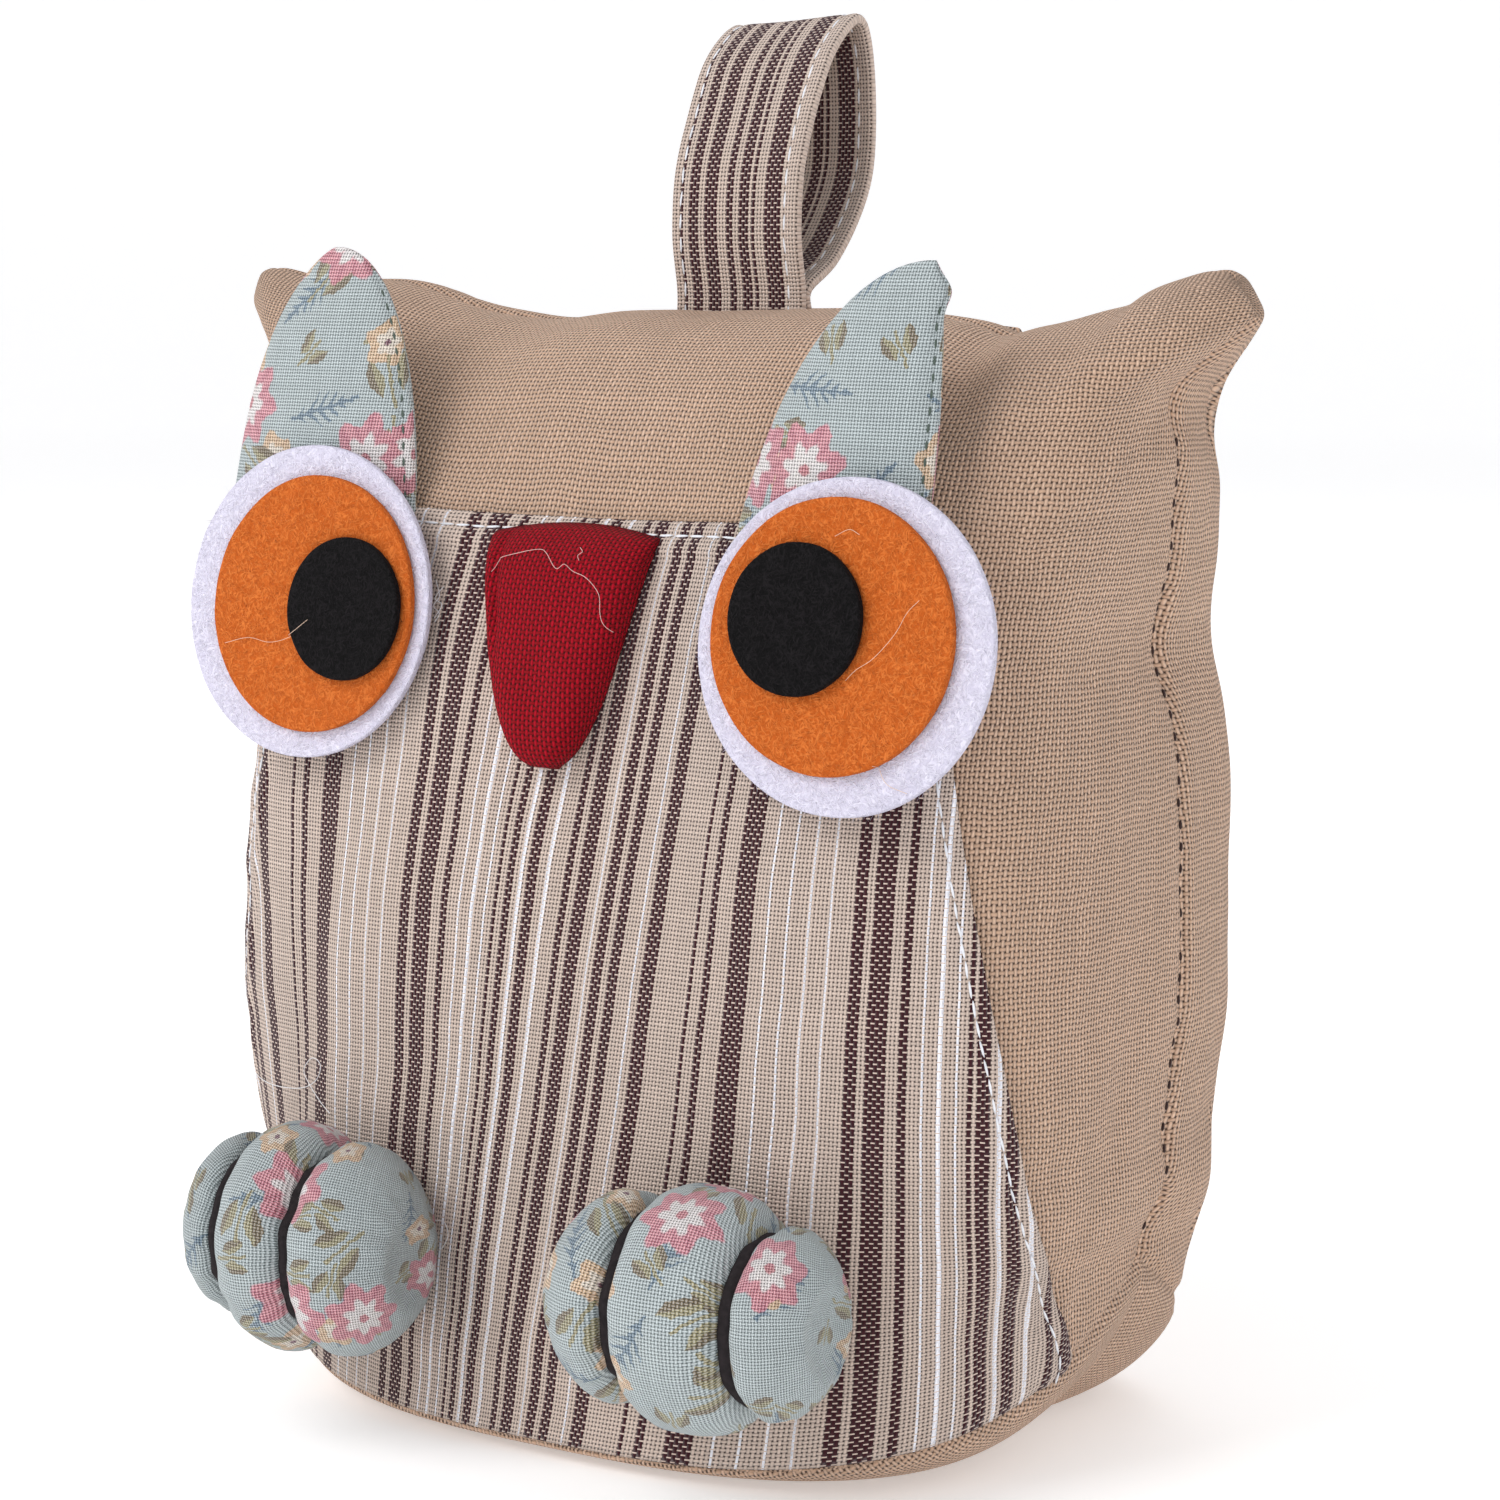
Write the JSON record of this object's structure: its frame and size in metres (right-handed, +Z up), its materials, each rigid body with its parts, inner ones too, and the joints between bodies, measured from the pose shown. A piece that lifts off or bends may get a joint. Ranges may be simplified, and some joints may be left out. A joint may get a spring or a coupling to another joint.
{
  "type": "weighted fabric door stop",
  "caption": "Sand-filled fabric door stop sewn as a round-eyed owl, with a striped belly, felt eyes, a stuffed beak, tufts and feet, and a strap to carry it by.",
  "frame": {"origin": "on the floor, at the middle of the flat underside, straight below the middle of the top seam", "axes": "+Z up, the face looks along -Y, +X to the right of someone who looks at its face; left and right in the names are that viewer's"},
  "size_m": [0.1992, 0.1323, 0.2344],
  "materials": {
    "tan_cotton": "matte, coarse plain weave",
    "striped_cotton": "matte, yarn-dyed stripe, plain weave",
    "printed_cotton": "matte, small flower print, plain weave",
    "white_felt": "matte pressed felt",
    "orange_felt": "matte pressed felt",
    "black_felt": "matte, smooth foam-backed felt",
    "red_cloth": "matte, coarse plain weave",
    "black_yarn": "matte, slightly fuzzy band"
  },
  "bodies": {
    "root": {"body": "tan_cotton", "belly_panel": "striped_cotton", "handle_loop": "striped_cotton", "ear_tuft_left": "printed_cotton", "ear_tuft_right": "printed_cotton", "eye_white_left": "white_felt", "eye_iris_left": "orange_felt", "eye_pupil_left": "black_felt", "eye_white_right": "white_felt", "eye_iris_right": "orange_felt", "eye_pupil_right": "black_felt", "beak": "red_cloth", "foot_left": "printed_cotton", "toe_band_left_outer": "black_yarn", "toe_band_left_inner": "black_yarn", "foot_right": "printed_cotton", "toe_band_right_inner": "black_yarn", "toe_band_right_outer": "black_yarn"}
  },
  "joints": []
}
